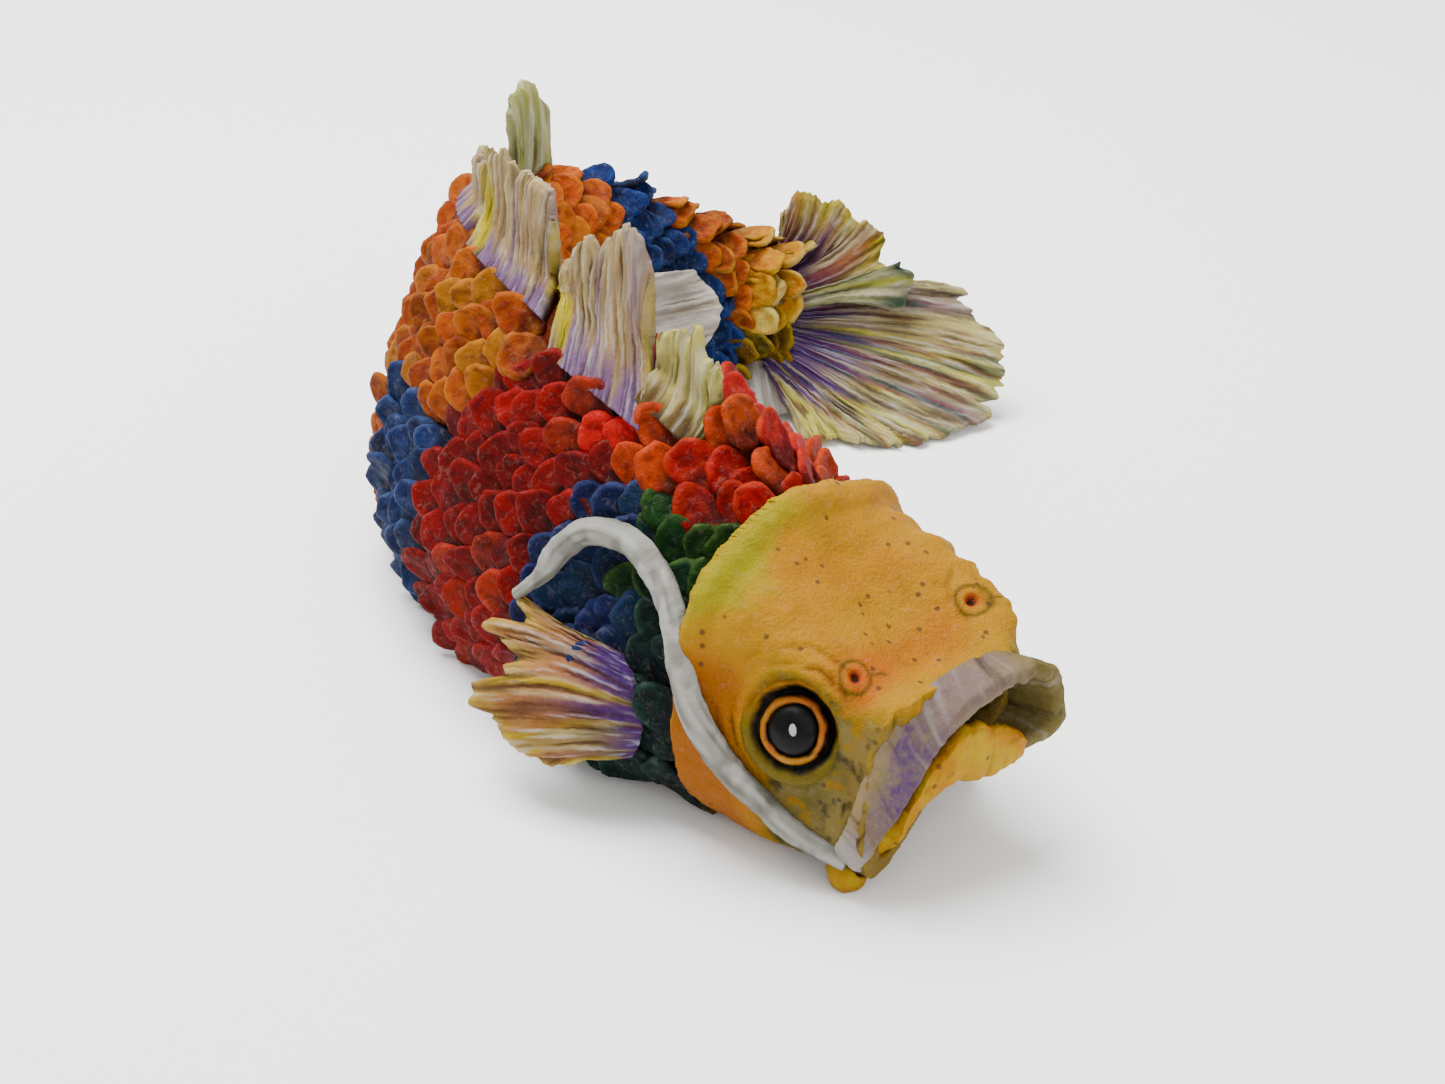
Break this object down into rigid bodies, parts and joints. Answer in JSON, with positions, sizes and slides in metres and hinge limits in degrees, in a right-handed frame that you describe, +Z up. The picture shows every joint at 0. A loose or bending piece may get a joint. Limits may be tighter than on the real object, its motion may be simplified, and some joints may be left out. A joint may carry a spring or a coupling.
{
  "type": "clay carp figurine",
  "caption": "Hand-built painted clay carp lying on its belly with its body bent in a C, pressed scales, ragged fins, gaping mouth and a rolled barbel.",
  "frame": {"origin": "centre of the footprint, on the surface that the belly lies on", "axes": "+Z up; +Y the long way of the footprint, from the head towards the tail; the bent back faces -X and the open side of the C faces +X"},
  "size_m": [0.1307, 0.2013, 0.0912],
  "materials": {
    "barbel_white": "dry-brushed white over grey",
    "bare_clay": "unpainted clay where the scales leave it showing, stained dark",
    "cheek_khaki": "matt acrylic, olive-grey and tan washes",
    "crown_yellow": "matt acrylic, yellow washed with orange, fine pinholes",
    "eye_black": "satin black with one painted light",
    "eye_orange": "satin acrylic, orange",
    "eye_socket": "dark wash",
    "fin_bone": "dry-brushed bone over purple, streaks of lemon yellow",
    "fin_grey": "dry-brushed grey-beige",
    "gill_orange": "matt acrylic, orange over yellow",
    "jaw_mustard": "matt acrylic, mustard yellow",
    "lip_mauve": "matt acrylic, mauve-grey with a purple patch",
    "scale_blue": "matt acrylic, ultramarine",
    "scale_copper": "matt acrylic, copper brown",
    "scale_crimson": "matt acrylic, crimson",
    "scale_gold": "matt acrylic, gold with cream edges",
    "scale_green": "matt acrylic, green",
    "scale_indigo": "matt acrylic, indigo",
    "scale_ochre": "matt acrylic, orange ochre",
    "scale_olive": "matt acrylic, olive and mustard",
    "scale_orange": "matt acrylic, orange",
    "scale_teal": "matt acrylic, dark teal",
    "scale_vermilion": "matt acrylic, orange-red"
  },
  "bodies": {
    "root": {"anal_fin": "fin_grey", "chin_foot": "jaw_mustard", "crown_plate": "crown_yellow", "dorsal_fin_bend": "fin_bone", "dorsal_fin_front": "fin_bone", "dorsal_fin_leaf": "fin_bone", "dorsal_fin_middle": "fin_bone", "dorsal_fin_rear": "fin_bone", "front_trunk_shell": "bare_clay", "left_barbel": "barbel_white", "left_cheek": "cheek_khaki", "left_gill_cover": "gill_orange", "left_iris_ring": "eye_orange", "left_pectoral_fin": "fin_bone", "left_pelvic_fin": "fin_grey", "left_pupil": "eye_black", "left_socket_ring": "eye_socket", "lower_jaw": "jaw_mustard", "rear_trunk_shell": "bare_clay", "right_barbel": "barbel_white", "right_cheek": "cheek_khaki", "right_gill_cover": "gill_orange", "right_iris_ring": "eye_orange", "right_pectoral_fin": "fin_bone", "right_pelvic_fin": "fin_grey", "right_pupil": "eye_black", "right_socket_ring": "eye_socket", "scales_blue_bend": "scale_blue", "scales_blue_flank": "scale_blue", "scales_copper_stalk": "scale_copper", "scales_crimson_flank": "scale_crimson", "scales_gold_stalk": "scale_gold", "scales_green_nape": "scale_green", "scales_indigo_shoulder": "scale_indigo", "scales_ochre_flank": "scale_ochre", "scales_olive_stalk": "scale_olive", "scales_orange_bend": "scale_orange", "scales_teal_throat": "scale_teal", "scales_vermilion_back": "scale_vermilion", "tail_curled_leaf": "fin_bone", "tail_lower_fan": "fin_bone", "tail_middle_leaf": "fin_bone", "tail_stalk": "bare_clay", "tail_upper_fan": "fin_bone", "throat_plate": "jaw_mustard", "upper_lip": "lip_mauve"}
  },
  "joints": []
}
